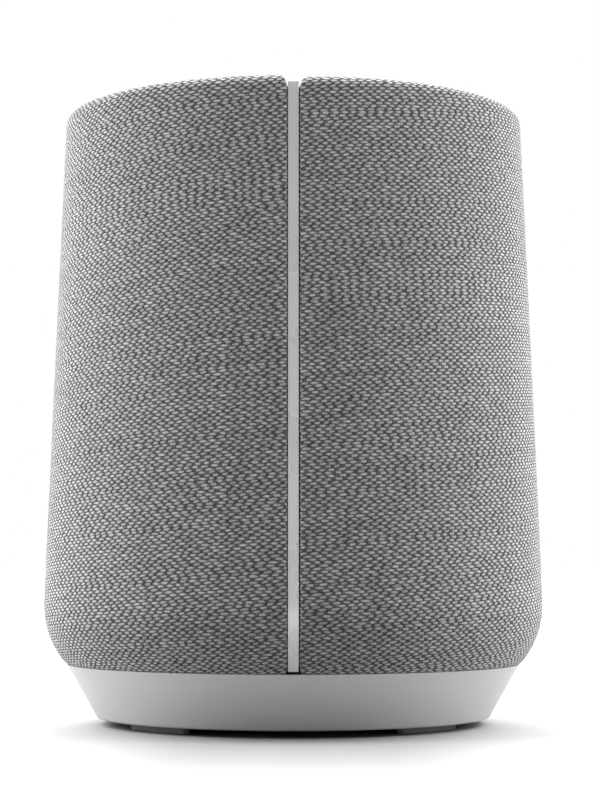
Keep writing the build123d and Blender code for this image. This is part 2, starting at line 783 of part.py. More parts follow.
with BuildPart() as tweeter_dome:
    driver_dome(tweeter_z, tweeter_out, dome_seat, tweeter_dome_rise, skin)
save(tweeter_dome, "tweeter_dome")

with BuildPart() as tweeter_surround:
    driver_tube(tweeter_z, tweeter_out, cup_in, dome_seat, cup_front)
save(tweeter_surround, "tweeter_surround")

# ---------------------------------------------------------------- electronics
def populated(name, low_z, blocks, cans=(), hanging=False):
    """Components on a board: blocks are (x, y, width, depth, height), cans (x, y, r, height)."""
    with BuildPart() as group:
        for x, y, width, depth, height in blocks:
            low = low_z - height if hanging else low_z
            add(box_of((x - width / 2, x + width / 2), (y - depth / 2, y + depth / 2), (low, low + height)))
        for x, y, radius, height in cans:
            low = low_z - height if hanging else low_z
            upright([(x, y)], radius, low, low + height)
    save(group, name)


main_top_z = main_board_z + board_thick
main_half = (40.0, 21.0)
with BuildPart() as main_board:
    add(
        box_of((-main_half[0], main_half[0]), (-main_half[1], main_half[1]), (main_board_z, main_top_z))
    )
    upright(board_xy, M2[2] + bore_clear, main_board_z, main_top_z, Mode.SUBTRACT)
save(main_board, "main_board")
populated(
    "main_components",
    main_top_z,
    [
        (-10, -8, 9, 9, 1.1), (4, -11, 6, 6, 1.0), (-22, 10, 7, 5, 1.2), (18, -12, 5, 7, 1.4),
        (-33, -6, 5, 14, 3.0), (-33, 9, 5, 8, 3.0),
    ],
    [(30, 2, 2.5, 3.2), (30, -5, 2.5, 3.2)],
)
with BuildPart() as radio_shield:
    add(box_of((-2.0, 22.0), (0.0, 18.0), (main_top_z, main_top_z + 2.4)))
    add(box_of((-1.6, 21.6), (0.4, 17.6), (main_top_z, main_top_z + 2.0)), mode=Mode.SUBTRACT)
save(radio_shield, "radio_shield")

with BuildPart() as power_board:
    add(box_of((-31.0, 31.0), (-43.0, -4.0), (power_board_z, power_top_z)))
    upright(power_xy, M2[2] + bore_clear, power_board_z, power_top_z, Mode.SUBTRACT)
save(power_board, "power_board")
screws(
    "board_screws",
    facing_down(board_xy, main_top_z) + facing_up(power_xy, power_board_z),
    M2,
    board_thick + board_lift + 1.0,
)
# transformer and capacitors hang from the board
populated(
    "power_components",
    power_board_z,
    [(-9, -30, 15, 13, 7.4)],
    [(8, -27, 4.0, 7.4), (8, -37, 3.2, 7.4), (-22, -26, 3.2, 7.4)],
    hanging=True,
)
with BuildPart() as heatsink:
    fin_count, fin_pitch = 4, 2.6
    add(box_of((16.0, 24.0), (-33.0, -19.0), (power_board_z - 2.0, power_board_z)))
    for i in range(fin_count):
        x = 16.0 + i * fin_pitch
        if x + 1.0 <= 24.0:
            add(box_of((x, x + 1.0), (-33.0, -19.0), (power_board_z - 7.4, power_board_z - 2.0)))
save(heatsink, "heatsink")

# ---------------------------------------------------------------- wiring
def wire(name, path_points, radius):
    """Insulated wires, each following its own points."""
    with BuildPart() as run:
        for points in path_points:
            with BuildLine() as path:
                Spline(*points)
            with BuildSketch(Plane(origin=path.line @ 0, z_dir=path.line % 0)) as end:
                Circle(radius)
            sweep(end.sketch, path=path.line)
    save(run, name)


wire_top = woofer_z - 14.0
gx, gy = gland_xy[1]
tweeter_back = baffle_y + cup_back
wire(
    "speaker_wires",
    [
        [(gx, gy, power_top_z + 0.4), (gx, gy, chassis_z + 6), (gx - 1, gy + 2, wire_top)],
        [
            (-gx, gy, power_top_z + 0.4), (-gx, gy, chassis_z + 6), (-gx - 4, gy - 4, woofer_z),
            (6 - gx, gy, tweeter_z - 14), (-12.0, tweeter_back - 3.0, tweeter_z),
        ],
    ],
    wire_r - 0.4,
)
hx, hy = harness_xy
wire(
    "main_harness",
    [
        [
            (hx, hy, chassis_bottom_z - 1.5), (hx, hy, chassis_z + 8), (hx, hy, woofer_z + 20),
            (hx, hy, cabinet_top_z - 4), (hx, hy, cabinet_top_z), (hx, hy + 1, cabinet_top_z + 4),
        ]
    ],
    harness_r,
)

# ---------------------------------------------------------------- base
with BuildPart() as base_shell:
    turned(
        [
            (base_r(base_bottom_z), base_bottom_z), (base_top_r, base_top_z),
            (flange_inner_r, base_top_z), (flange_inner_r, flange_low),
            (base_r(flange_low) - slope_wall, flange_low),
            (base_r(cover_top_z + ledge_thick) - slope_wall, cover_top_z + ledge_thick),
            (ledge_r, cover_top_z + ledge_thick), (ledge_r, cover_top_z),
            (base_r(cover_top_z) - slope_wall, cover_top_z),
            (base_r(base_bottom_z) - slope_wall, base_bottom_z),
        ]
    )
    fillet(base_shell.edges().group_by(Axis.Z)[0], base_edge_round)
    add(
        box_of((-cord_way / 2, cord_way / 2), (0, far), (0, cord_way_top)), mode=Mode.SUBTRACT
    )
    upright(clamp_xy, M3[2] + bore_clear, flange_low, base_top_z, Mode.SUBTRACT)
    upright(cover_xy, M2[2] + bore_clear, cover_top_z, cover_top_z + ledge_thick, Mode.SUBTRACT)
save(base_shell, "base_shell")

with BuildPart() as base_seal:
    upright([(0, 0)], base_top_r - 1.6, base_top_z, hem_z)
    upright([(0, 0)], flange_inner_r + 1.0, base_top_z, hem_z, Mode.SUBTRACT)
    upright(clamp_xy, M3[2] + bore_clear, base_top_z, hem_z, Mode.SUBTRACT)
save(base_seal, "base_seal")

feet_angles = [sign * 90 + side * foot_angle for sign in (-1, 1) for side in (-1, 1)]
with BuildSketch() as foot_plan:
    for angle in feet_angles:
        with Locations(Rot(0, 0, angle)):
            foot_mid = foot_outer_r - foot_width / 2
            SlotArc(
                CenterArc((0, 0), foot_mid, angle - foot_span / 2, foot_span, mode=Mode.PRIVATE)
                .moved(Location((0, 0, 0), (0, 0, -angle))),
                foot_width,
            )
port_half = (3.9, 1.45)
slider_half = (2.0, 1.5)
with BuildPart() as bottom_cover:
    upright([(0, 0)], cover_r, cover_z, cover_top_z)
    add(
        box_of(
            (-bay_half_width - bay_wall, bay_half_width + bay_wall),
            (bay_rear_y - bay_wall, bay_front_y + bay_wall),
            (cover_z, bay_ceiling_z + bay_wall),
        )
    )
    add(
        box_of((-bay_half_width, bay_half_width), (bay_rear_y, bay_front_y), (0, bay_ceiling_z)),
        mode=Mode.SUBTRACT,
    )
    # socket hole in the bay's rear wall, and the cord's way out to the rim
    add(
        box_of(
            (-inlet_half_width, inlet_half_width), (bay_rear_y - 2 * bay_wall, bay_rear_y + 1),
            (inlet_low_z, inlet_high_z),
        ),
        mode=Mode.SUBTRACT,
    )
    add(
        box_of((-cord_way / 2, cord_way / 2), (bay_front_y - 1, far), (0, cord_way_top)),
        mode=Mode.SUBTRACT,
    )
    extrude(foot_plan.sketch.moved(Location((0, 0, cover_z))), amount=foot_sink, mode=Mode.SUBTRACT)
    upright(cover_xy, M2[0] + clear, cover_z, cover_z + M2[1], Mode.SUBTRACT)
    upright(cover_xy, M2[2] + bore_clear, cover_z, cover_top_z, Mode.SUBTRACT)
    # button, slider and service port
    upright([(-control_x, control_y)], button_r + clear, cover_z, cover_top_z, Mode.SUBTRACT)
    slide_x = slider_half[0] + slider_travel / 2 + clear
    for x, half_x, half_y in (
        (control_x, slide_x, slider_half[1] + clear),
        (0, port_half[0] + clear, port_half[1] + clear),
    ):
        add(
            box_of((x - half_x, x + half_x), (control_y - half_y, control_y + half_y), (0, cover_top_z)),
            mode=Mode.SUBTRACT,
        )
    posts = [(-8.0, control_y + 7), (8.0, control_y + 7)]
    upright(posts, 2.0, cover_top_z, control_board_z)
save(bottom_cover, "bottom_cover")
screws("cover_screws", facing_up(cover_xy, cover_z + M2[1]), M2, cover_thick - M2[1] + ledge_thick - 0.4)

with BuildPart() as foot_pads:
    extrude(foot_plan.sketch, amount=cover_z + foot_sink)
    fillet(foot_pads.edges().group_by(Axis.Z)[0], 0.5)
save(foot_pads, "foot_pads")

inlet_mid_z = (inlet_low_z + inlet_high_z) / 2
inlet_back_y = bay_rear_y - inlet_depth
with BuildPart() as inlet_body:
    add(
        box_of(
            (-inlet_half_width, inlet_half_width), (inlet_back_y, bay_rear_y), (inlet_low_z, inlet_high_z)
        )
    )
    with BuildSketch(Plane(origin=(0, bay_rear_y, inlet_mid_z), x_dir=(1, 0, 0), z_dir=(0, -1, 0))):
        with Locations((-pin_pitch / 2, 0), (pin_pitch / 2, 0)):
            Circle(4.1)
        Rectangle(pin_pitch, 6.4)
    extrude(amount=socket_depth, mode=Mode.SUBTRACT)
    pin_places = facing_in([(side * pin_pitch / 2, inlet_mid_z) for side in (-1, 1)], bay_rear_y)
    bores(pin_places, pin_r, inlet_depth)
save(inlet_body, "inlet_body")
with BuildPart() as inlet_pins:
    with Locations(*[place * Pos(0, 0, 3.0) for place in pin_places]):
        Cylinder(pin_r, inlet_depth - 3.0 + 2.0, align=(Align.CENTER, Align.CENTER, Align.MIN))
    for side in (-1, 1):
        x = side * pin_pitch / 2
        add(
            box_of((x - 0.6, x + 0.6), (inlet_back_y - 2.0, inlet_back_y - 0.6), (inlet_mid_z, power_board_z))
        )
save(inlet_pins, "inlet_pins")

with BuildPart() as control_board:
    add(
        box_of(
            (-18.0, 18.0), (control_y - 6.0, control_y + 9.0), (control_board_z, control_board_z + 1.2)
        )
    )
save(control_board, "control_board")
with BuildPart() as service_port:
    px, py = port_half
    add(box_of((-px, px), (control_y - py, control_y + py), (cover_z + 0.4, control_board_z)))
    add(
        box_of(
            (-px + 0.4, px - 0.4), (control_y - py + 0.4, control_y + py - 0.4),
            (cover_z + 0.4, control_board_z - 0.6),
        ),
        mode=Mode.SUBTRACT,
    )
    add(box_of((-px + 1.2, px - 1.2), (control_y - 0.3, control_y + 0.3), (cover_z + 1, control_board_z)))
save(service_port, "service_port")

shoulder_low = cover_top_z + clear
with BuildPart() as pairing_button:
    upright([(-control_x, control_y)], button_r, cover_z + 0.2, shoulder_low)
    upright([(-control_x, control_y)], button_r + shoulder, shoulder_low, shoulder_low + 0.8)
save(pairing_button, "pairing_button")
with BuildPart() as mute_slider:
    sx, sy = slider_half
    slide_low = cover_z + 0.2
    add(box_of((control_x - sx, control_x + sx), (control_y - sy, control_y + sy), (slide_low, shoulder_low)))
    for i in (-1, 0, 1):
        x = control_x + 1.1 * i
        add(
            box_of((x - 0.25, x + 0.25), (control_y - sy, control_y + sy), (slide_low, slide_low + 0.4)),
            mode=Mode.SUBTRACT,
        )
    add(
        box_of(
            (control_x - slide_x - shoulder - 1, control_x + slide_x + shoulder + 1),
            (control_y - sy - shoulder, control_y + sy + shoulder), (shoulder_low, shoulder_low + 0.8),
        )
    )
save(mute_slider, "mute_slider")
switch_low = shoulder_low + 0.8 + button_travel + 0.1
with BuildPart() as control_switches:
    # the tact switch over the button and the body of the mute switch
    upright([(-control_x, control_y)], 2.0, switch_low, control_board_z)
    add(
        box_of(
            (control_x - 4.4, control_x + 4.4), (control_y - 2.6, control_y + 2.6),
            (switch_low, control_board_z),
        )
    )
save(control_switches, "control_switches")
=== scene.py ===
"""Looks for a cloth-covered smart speaker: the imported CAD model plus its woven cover, in a white studio."""

import json
from math import cos, pi, radians, sin, sqrt

import bpy
import numpy as np
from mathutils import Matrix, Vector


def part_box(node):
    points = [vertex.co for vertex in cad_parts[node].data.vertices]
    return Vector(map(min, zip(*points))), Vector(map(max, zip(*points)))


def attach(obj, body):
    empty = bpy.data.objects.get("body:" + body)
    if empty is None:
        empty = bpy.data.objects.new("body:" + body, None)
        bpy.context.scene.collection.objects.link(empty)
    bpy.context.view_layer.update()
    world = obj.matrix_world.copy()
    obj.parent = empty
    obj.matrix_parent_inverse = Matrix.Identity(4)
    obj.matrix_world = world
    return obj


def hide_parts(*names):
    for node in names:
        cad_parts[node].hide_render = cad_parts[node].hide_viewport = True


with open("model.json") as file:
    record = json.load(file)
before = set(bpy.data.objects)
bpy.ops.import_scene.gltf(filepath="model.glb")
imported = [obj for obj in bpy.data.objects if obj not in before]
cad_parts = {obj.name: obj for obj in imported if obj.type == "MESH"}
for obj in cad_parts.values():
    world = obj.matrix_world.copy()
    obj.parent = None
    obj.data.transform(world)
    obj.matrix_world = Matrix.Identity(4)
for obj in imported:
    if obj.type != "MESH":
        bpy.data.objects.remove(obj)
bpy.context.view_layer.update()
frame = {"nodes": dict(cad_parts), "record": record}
nodes = frame["nodes"]
scene = bpy.context.scene
MM = 0.001
TURN = 2 * pi
UV = "OFBake"

# ---------------------------------------------------------------- sizes, read from the frame
cover_low, cover_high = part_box("fabric_sleeve")
lip_top = cover_high[2]
hem_z = cover_low[2]
widest = max(cover_high[0], -cover_low[0])
spine_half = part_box("rear_spine")[1][0]


# ---------------------------------------------------------------- node graphs
class Graph:
    """A short way to write a material's or a world's node tree."""

    def __init__(self, tree):
        self.tree = tree
        self.tree.nodes.clear()

    def node(self, kind, **inputs):
        made = self.tree.nodes.new(kind)
        for name, value in inputs.items():
            self.put(made.inputs[name.replace("_", " ")], value)
        return made

    def put(self, socket, value):
        if isinstance(value, bpy.types.NodeSocket):
            self.tree.links.new(value, socket)
        elif value is not None:
            socket.default_value = value

    def math(self, how, a, b=None):
        made = self.tree.nodes.new("ShaderNodeMath")
        made.operation = how
        for socket, value in zip(made.inputs, (a, b)):
            self.put(socket, value)
        return made.outputs[0]

    def add(self, a, b):
        return self.math("ADD", a, b)

    def sub(self, a, b):
        return self.math("SUBTRACT", a, b)

    def mul(self, a, b):
        return self.math("MULTIPLY", a, b)

    def span(self, value, a, b, low=0.0, high=1.0, smooth=False):
        """Maps value from a..b to low..high, and holds it there."""
        made = self.tree.nodes.new("ShaderNodeMapRange")
        made.interpolation_type = "SMOOTHSTEP" if smooth else "LINEAR"
        for socket, given in zip(made.inputs, (value, a, b, low, high)):
            self.put(socket, given)
        return made.outputs[0]

    def mix(self, share, a, b, how="MIX"):
        made = self.tree.nodes.new("ShaderNodeMix")
        made.data_type, made.blend_type = "RGBA", how
        self.put(made.inputs["Factor"], share)
        self.put(made.inputs["A"], a)
        self.put(made.inputs["B"], b)
        return made.outputs["Result"]

    def grey(self, value):
        made = self.tree.nodes.new("ShaderNodeCombineColor")
        for socket in made.inputs:
            self.put(socket, value)
        return made.outputs[0]

    def vector(self, x=0.0, y=0.0, z=0.0):
        made = self.tree.nodes.new("ShaderNodeCombineXYZ")
        for socket, value in zip(made.inputs, (x, y, z)):
            self.put(socket, value)
        return made.outputs[0]

    def parts(self, vector):
        made = self.tree.nodes.new("ShaderNodeSeparateXYZ")
        self.put(made.inputs[0], vector)
        return made.outputs

    def noise(self, vector, scale=1.0, detail=2.0, rough=0.5):
        made = self.tree.nodes.new("ShaderNodeTexNoise")
        self.put(made.inputs["Vector"], vector)
        made.inputs["Scale"].default_value = scale
        made.inputs["Detail"].default_value = detail
        made.inputs["Roughness"].default_value = rough
        return made.outputs["Fac"]

    def random(self, vector):
        made = self.tree.nodes.new("ShaderNodeTexWhiteNoise")
        made.noise_dimensions = "3D"
        self.put(made.inputs["Vector"], vector)
        return made.outputs["Value"]

    def bump(self, height, distance, strength=1.0):
        made = self.tree.nodes.new("ShaderNodeBump")
        made.inputs["Distance"].default_value = distance
        made.inputs["Strength"].default_value = strength
        self.put(made.inputs["Height"], height)
        return made.outputs[0]


def material(name):
    made = bpy.data.materials.new(name)
    made.use_nodes = True
    return made, Graph(made.node_tree)


def finish_material(g, **sockets):
    """A Principled shader with the given sockets, wired to the output."""
    shader = g.tree.nodes.new("ShaderNodeBsdfPrincipled")
    for name, value in sockets.items():
        g.put(shader.inputs[name.replace("_", " ")], value)
    out = g.tree.nodes.new("ShaderNodeOutputMaterial")
    g.tree.links.new(shader.outputs[0], out.inputs["Surface"])


def rgb(level, tint=(1.0, 1.0, 1.0)):
    return (level * tint[0], level * tint[1], level * tint[2], 1.0)


def object_place(g):
    return g.tree.nodes.new("ShaderNodeTexCoord").outputs["Object"]


def plain(name, colour, rough, grain=0.25, depth=0.02, vary=0.06, metal=0.0, **more):
    """A moulded, painted or metal finish: fine grain in the surface and slow changes in tone and gloss.
    grain and depth are the texture's size and height in millimetres."""
    made, g = material(name)
    place = object_place(g)
    slow = g.noise(place, 60.0, 3.0)
    fine = g.noise(place, 1.0 / (grain * MM), 2.0)
    tone = g.span(g.add(g.mul(slow, 0.6), g.mul(fine, 0.4)), 0.3, 0.7, 1 - vary, 1 + vary)
    shade = g.mix(1.0, (*colour, 1.0), g.grey(tone), "MULTIPLY")
    gloss = g.span(slow, 0.3, 0.7, rough * 0.88, min(1.0, rough * 1.12))
    finish_material(
        g, Base_Color=shade, Roughness=gloss, Metallic=metal, Normal=g.bump(fine, depth * MM, 0.6), **more
    )
    return made


def brushed(name, colour, rough, along=(1.0, 1.0, 0.02), depth=0.01):
    """Metal with fine drawn lines: the pattern is stretched along the axis with the small factor."""
    made, g = material(name)
    mapping = g.tree.nodes.new("ShaderNodeMapping")
    g.put(mapping.inputs["Vector"], object_place(g))
    mapping.inputs["Scale"].default_value = along
    lines = g.noise(mapping.outputs[0], 9000.0, 2.0)
    slow = g.noise(object_place(g), 90.0, 2.0)
    shade = g.mix(1.0, (*colour, 1.0), g.grey(g.span(lines, 0.3, 0.7, 0.9, 1.08)), "MULTIPLY")
    finish_material(
        g,
        Base_Color=shade,
        Metallic=1.0,
        Roughness=g.span(g.add(g.mul(lines, 0.5), g.mul(slow, 0.5)), 0.3, 0.7, rough * 0.85, rough * 1.15),
        Normal=g.bump(lines, depth * MM, 0.5),
    )
    return made


def cloth(name, colour, pitch=0.5, depth=0.1):
    """A plain small weave for the hidden cloth parts."""
    made, g = material(name)
    x, y, z = g.parts(object_place(g))
    scale = TURN / (pitch * MM)
    rows = g.mul(g.math("SINE", g.mul(x, scale)), g.math("SINE", g.mul(z, scale)))
    fuzz = g.noise(object_place(g), 900.0, 3.0)
    tone = g.span(g.add(rows, fuzz), -0.6, 1.6, 0.75, 1.15)
    finish_material(
        g,
        Base_Color=g.mix(1.0, (*colour, 1.0), g.grey(tone), "MULTIPLY"),
        Roughness=0.92,
        Normal=g.bump(g.add(rows, fuzz), depth * MM, 0.7),
    )
    return made


# ---------------------------------------------------------------- woven cover
PICKS = 163  # weft floats round the body
YARN = 0.265  # tone of the weft
CLIMB = 36.0  # rows that the weft climbs in one turn
CROWDING = 0.0225  # how much closer the rows lie towards the top
ROW = 0.795 * MM  # height of a row


def weave_material():
    """Plain weave: light weft floats in a brick pattern over gaps painted dark as shade, slubs, and fibres
    along the yarn.
    The cover's map runs once round the body (u) and once from hem to inner edge (v)."""
    made, g = material("woven_cover")
    uv = g.tree.nodes.new("ShaderNodeUVMap")
    uv.uv_map = UV
    u, v, _ = g.parts(uv.outputs[0])
    # rows climb to the right, wander a little, and lie slightly closer together towards the top
    crowd = g.add(1.0 - CROWDING, g.mul(v, CROWDING))
    up = g.add(g.mul(g.mul(v, crowd), COVER_ROWS), 100.0)
    wander = g.mul(g.sub(g.noise(g.vector(g.mul(u, 6.0), g.mul(v, 3.0)), 1.0, 1.0), 0.5), 1.6)
    straight = g.add(g.sub(up, g.mul(u, CLIMB)), wander)
    wobble = g.mul(g.sub(g.noise(g.vector(g.mul(u, 60.0), g.mul(straight, 0.35)), 1.0, 3.0), 0.5), 1.2)
    columns = g.add(g.mul(u, PICKS), wobble)
    # each float bulges into the gap between two floats of the next row
    bulge = g.mul(g.math("COSINE", g.mul(columns, TURN)), g.math("COSINE", g.mul(straight, pi)))
    row_place = g.sub(straight, g.mul(bulge, 0.07))
    row = g.math("FLOOR", row_place)
    across = g.sub(g.sub(row_place, row), 0.5)  # -0.5..0.5 over a row
    odd = g.mul(g.math("MODULO", row, 2.0), 0.5)
    shift = g.mul(g.sub(g.random(g.vector(row, 3.0)), 0.5), 0.3)
    pick_place = g.add(g.add(columns, odd), shift)
    pick = g.math("FLOOR", pick_place)
    along = g.mul(g.sub(g.sub(pick_place, pick), 0.5), 2.0)
    cell = g.random(g.vector(pick, row, 1.0))
    second = g.random(g.vector(pick, row, 5.0))
    lean = g.mul(g.mul(g.sub(second, 0.5), 0.35), along)
    beside = g.add(g.add(g.mul(across, 2.15), lean), g.mul(g.sub(cell, 0.5), 0.25))
    # weft float: a short rounded dash with a raised crown, painted brightest there through the height-driven
    # colour below; warp: a low pillow in the gap at each end
    reach = g.span(cell, 0.0, 1.0, 0.66, 0.88)
    away = g.math("ABSOLUTE", along)
    past = g.math("MAXIMUM", g.math("DIVIDE", g.sub(away, 0.3), g.sub(reach, 0.3)), 0.0)
    left_over = g.sub(g.sub(1.0, g.mul(beside, beside)), g.mul(past, past))
    crown = g.sub(1.0, g.mul(g.mul(away, away), 0.45))
    weft = g.mul(g.math("POWER", g.math("MAXIMUM", left_over, 0.0), 0.6), crown)
    end = g.sub(1.0, away)
    low = g.add(g.mul(g.mul(end, end), 12.0), g.mul(g.mul(beside, beside), 1.5))
    warp = g.mul(g.math("MAXIMUM", g.sub(1.0, low), 0.0), g.span(second, 0.2, 1.0, 0.0, 0.45))
    height = g.math("MAXIMUM", weft, warp)
    # fibres along the yarn
    fibre = g.noise(g.vector(g.mul(u, PICKS * 5.0), g.mul(row_place, 2.2)), 1.0, 3.0, 0.7)
    relief = g.add(height, g.mul(fibre, 0.14))
    # tone: yarn by row, each float, slub streaks along a row, and soft bands down the warp
    yarn = g.span(g.random(g.vector(row, 7.0, 2.0)), 0.0, 1.0, 0.92, 1.07)
    each = g.span(second, 0.0, 1.0, 0.78, 1.18)
    streak_place = g.vector(g.mul(u, 11.0), g.mul(row, 0.61), 4.0)
    streak = g.span(g.noise(streak_place, 1.0, 2.0, 0.6), 0.60, 0.74, 1.0, 0.68, True)
    pale_place = g.vector(g.mul(u, 14.0), g.mul(row, 0.53), 9.0)
    pale = g.span(g.noise(pale_place, 1.0, 2.0, 0.6), 0.62, 0.75, 1.0, 1.14, True)
    band = g.span(g.noise(g.vector(g.mul(u, 70.0), g.mul(v, 1.2), 6.0), 1.0, 3.0, 0.6), 0.3, 0.7, 0.93, 1.06)
    cloud = g.span(g.noise(g.vector(g.mul(u, 9.0), g.mul(v, 5.0), 2.0), 1.0, 2.0), 0.3, 0.7, 0.95, 1.05)
    tone = g.mul(
        g.mul(g.mul(yarn, each), g.mul(streak, pale)),
        g.mul(g.mul(band, cloud), g.span(fibre, 0.25, 0.75, 0.40, 1.45)),
    )
    lit = g.span(height, 0.0, 1.0)
    tint = g.random(g.vector(pick, row, 8.0))
    yarn_colour = g.mix(tint, rgb(YARN, (1.02, 0.99, 0.97)), rgb(YARN, (0.98, 0.985, 1.01)))
    # painted shade: the yarn colour is mixed towards near-black 0.035 by relief height, darkening the gaps
    # between floats and the floats' ends and edges
    colour = g.mix(lit, rgb(0.035, (1.0, 1.0, 1.02)), g.mix(1.0, yarn_colour, g.grey(tone), "MULTIPLY"))
    finish_material(
        g,
        Base_Color=colour,
        Roughness=0.88,
        Specular_IOR_Level=0.25,
        Sheen_Weight=g.mul(lit, 0.85),
        Sheen_Roughness=0.55,
        Normal=g.bump(relief, 0.22 * MM, 0.9),
    )
    return made


# outline of the cloth in millimetres: the same body, worked out again from the CAD box
WIDEST_Z, TAPER, LIP_RADIUS = 34.5, radians(2.7), 3.0
HEM_R = 64.1
WIDEST_R, TOP_Z, HEM_Z = widest / MM, lip_top / MM, hem_z / MM
hem_dr, hem_dz = HEM_R - WIDEST_R, HEM_Z - WIDEST_Z
BELLY = -(hem_dr**2 + hem_dz**2) / (2 * (hem_dr * cos(TAPER) + hem_dz * sin(TAPER)))
BELLY_R, BELLY_Z = WIDEST_R - BELLY * cos(TAPER), WIDEST_Z - BELLY * sin(TAPER)
LIP_Z = TOP_Z - LIP_RADIUS
LIP_R = WIDEST_R - (LIP_RADIUS + (LIP_Z - WIDEST_Z) * sin(TAPER)) / cos(TAPER)
INNER_Z = LIP_Z - 4.0


def arc(r, z, radius, start, end, steps):
    """(r, z) points along an arc, with both of its ends."""
    angles = [start + (end - start) * i / steps for i in range(steps + 1)]
    return [(r + radius * cos(a), z + radius * sin(a)) for a in angles]


def cover_profile():
    """(r, z) points of the cloth's outer face from under the hem, over the lip and down inside it."""
    hem_angle = np.arctan2(HEM_Z - BELLY_Z, HEM_R - BELLY_R)
    hem_roll = 0.55
    points = [(HEM_R - 2.0, HEM_Z + 0.02)]
    hem = arc(HEM_R - hem_roll, HEM_Z + hem_roll - 0.15, hem_roll, -pi / 2, hem_angle, 5)
    points += hem
    points += [
        (BELLY_R + BELLY * cos(a), BELLY_Z + BELLY * sin(a)) for a in np.linspace(hem_angle + 0.03, TAPER, 18)
    ]
    start = (LIP_R + LIP_RADIUS * cos(TAPER), LIP_Z + LIP_RADIUS * sin(TAPER))
    flank = [
        (points[-1][0] + (start[0] - points[-1][0]) * t, points[-1][1] + (start[1] - points[-1][1]) * t)
        for t in np.linspace(0, 1, 90)[1:]
    ]
    points += flank
    points += arc(LIP_R, LIP_Z, LIP_RADIUS, TAPER, pi, 16)[1:]
    points += [(LIP_R - LIP_RADIUS, z) for z in np.linspace(LIP_Z, INNER_Z, 5)[1:]]
    return np.array(points)


def grid_mesh(name, places, uvs):
    """A mesh from a grid of points (rows, columns, 3) with a map."""
    rows, columns = places.shape[:2]
    index = np.arange(rows * columns).reshape(rows, columns)
    quads = np.stack(
        [index[:-1, :-1], index[:-1, 1:], index[1:, 1:], index[1:, :-1]], axis=-1
    ).reshape(-1, 4)
    mesh = bpy.data.meshes.new(name)
    mesh.from_pydata(places.reshape(-1, 3).tolist(), [], quads.tolist())
    layer = mesh.uv_layers.new(name=UV)
    flat = uvs.reshape(-1, 2)
    loops = np.empty(len(mesh.loops), np.int32)
    mesh.loops.foreach_get("vertex_index", loops)
    layer.data.foreach_set("uv", flat[loops].astype(np.float32).ravel())
    mesh.shade_smooth()
    made = bpy.data.objects.new(name, mesh)
    scene.collection.objects.link(made)
    return made


def make_cover():
    """The cloth: wrapped once round, its two edges rolled into the seam at -Y."""
    profile = cover_profile()
    step = np.hypot(*np.diff(profile, axis=0).T)
    length = np.concatenate([[0], np.cumsum(step)])
    tangent = np.gradient(profile, axis=0)
    tangent /= np.linalg.norm(tangent, axis=1)[:, None]
    normal = np.stack([tangent[:, 1], -tangent[:, 0]], axis=1)
    columns_round = 520
    right_gap, left_gap = 0.5, 0.36  # cloth to strip, seen from behind the speaker
    edge_roll = 0.9  # radius of the folded edges
    edge_deep = 2.6
    # across the cloth: (angle as an arc length from the seam, depth below the face)
    fold = [(edge_roll * (1 - cos(a)), edge_roll * (1 - sin(a))) for a in np.linspace(0, pi / 2, 8)]
    corner_wide, corner_low = 1.3, 3.3  # the rounded corners of the cloth beside the strip's end
    right_drop, drop_reach = 0.4, 30.0  # the right side's lip lies a little lower near the seam
    right, left = spine_half / MM + right_gap, spine_half / MM + left_gap
    rows = []
    for (r, z), (nr, nz) in zip(profile, normal):
        inside_lip = nr < 0
        climb = 1.0 if inside_lip else min(max((z - TOP_Z + corner_low) / corner_low, 0.0), 1.0)
        corner = corner_wide * (1 - sqrt(1 - climb**2))
        sides = []
        for start, gap in ((right, right_gap), (left, left_gap)):
            closed = (gap - 0.04) * (1 - climb)
            tail = [(-closed, edge_deep), (-closed * 0.6, (edge_deep + edge_roll) / 2)]
            sides.append([(start + corner + d, deep) for d, deep in tail + fold])
        low, high = sides[0][-1][0], TURN * r - sides[1][-1][0]
        across = sides[0] + [(s, 0.0) for s in np.linspace(low, high, columns_round)[1:-1]]
        across += [(TURN * r - s, deep) for s, deep in reversed(sides[1])]
        drop = right_drop * min(max((z - TOP_Z) / 12.0 + 1.0, 0.0), 1.0)
        line = []
        for s, deep in across:
            angle = -pi / 2 + s / r
            rr, zz = r - nr * deep, z - nz * deep - drop * np.exp(-s / drop_reach)
            line.append((rr * cos(angle), rr * sin(angle), zz))
        rows.append(line)
    places = np.array(rows)
    # the map: u once round, v from hem to inner edge
    count = places.shape[1]
    flat_width = TURN * WIDEST_R - right - left - 2 * edge_roll
    tucked, quarter = edge_deep - edge_roll, edge_roll * pi / 2
    s_fold = [-tucked - quarter, -tucked / 2 - quarter]
    s_fold += [-edge_roll * (pi / 2 - a) for a in np.linspace(0, pi / 2, 8)]
    along = np.array(s_fold + list(np.linspace(0, flat_width, columns_round)[1:-1]))
    tail = [flat_width - s for s in reversed(s_fold)]
    along = np.concatenate([along, tail])
    along = (along - along[0]) / (along[-1] - along[0])
    uvs = np.empty((len(profile), count, 2))
    uvs[:, :, 0] = along[None, :]
    uvs[:, :, 1] = (length / length[-1])[:, None]
    # hand-laid cloth isn't perfectly even
    theta = along * TURN
    ease = np.sin(np.clip(length / length[-1], 0, 1) * pi)[:, None]
    uneven = 0.05 * np.sin(3 * theta + 0.7)[None, :] * ease + 0.04 * np.sin(7 * theta + 2.0)[None, :] * ease
    out = places[:, :, :2] / np.linalg.norm(places[:, :, :2], axis=2, keepdims=True)
    places[:, :, :2] -= out * (0.05 + uneven)[:, :, None]
    made = grid_mesh("woven_cover", places * MM, uvs)
    return made, length[-1]


cover, cover_length = make_cover()
COVER_ROWS = cover_length * MM / ROW
cover.data.materials.append(weave_material())
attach(cover, "housing")
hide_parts("fabric_sleeve")

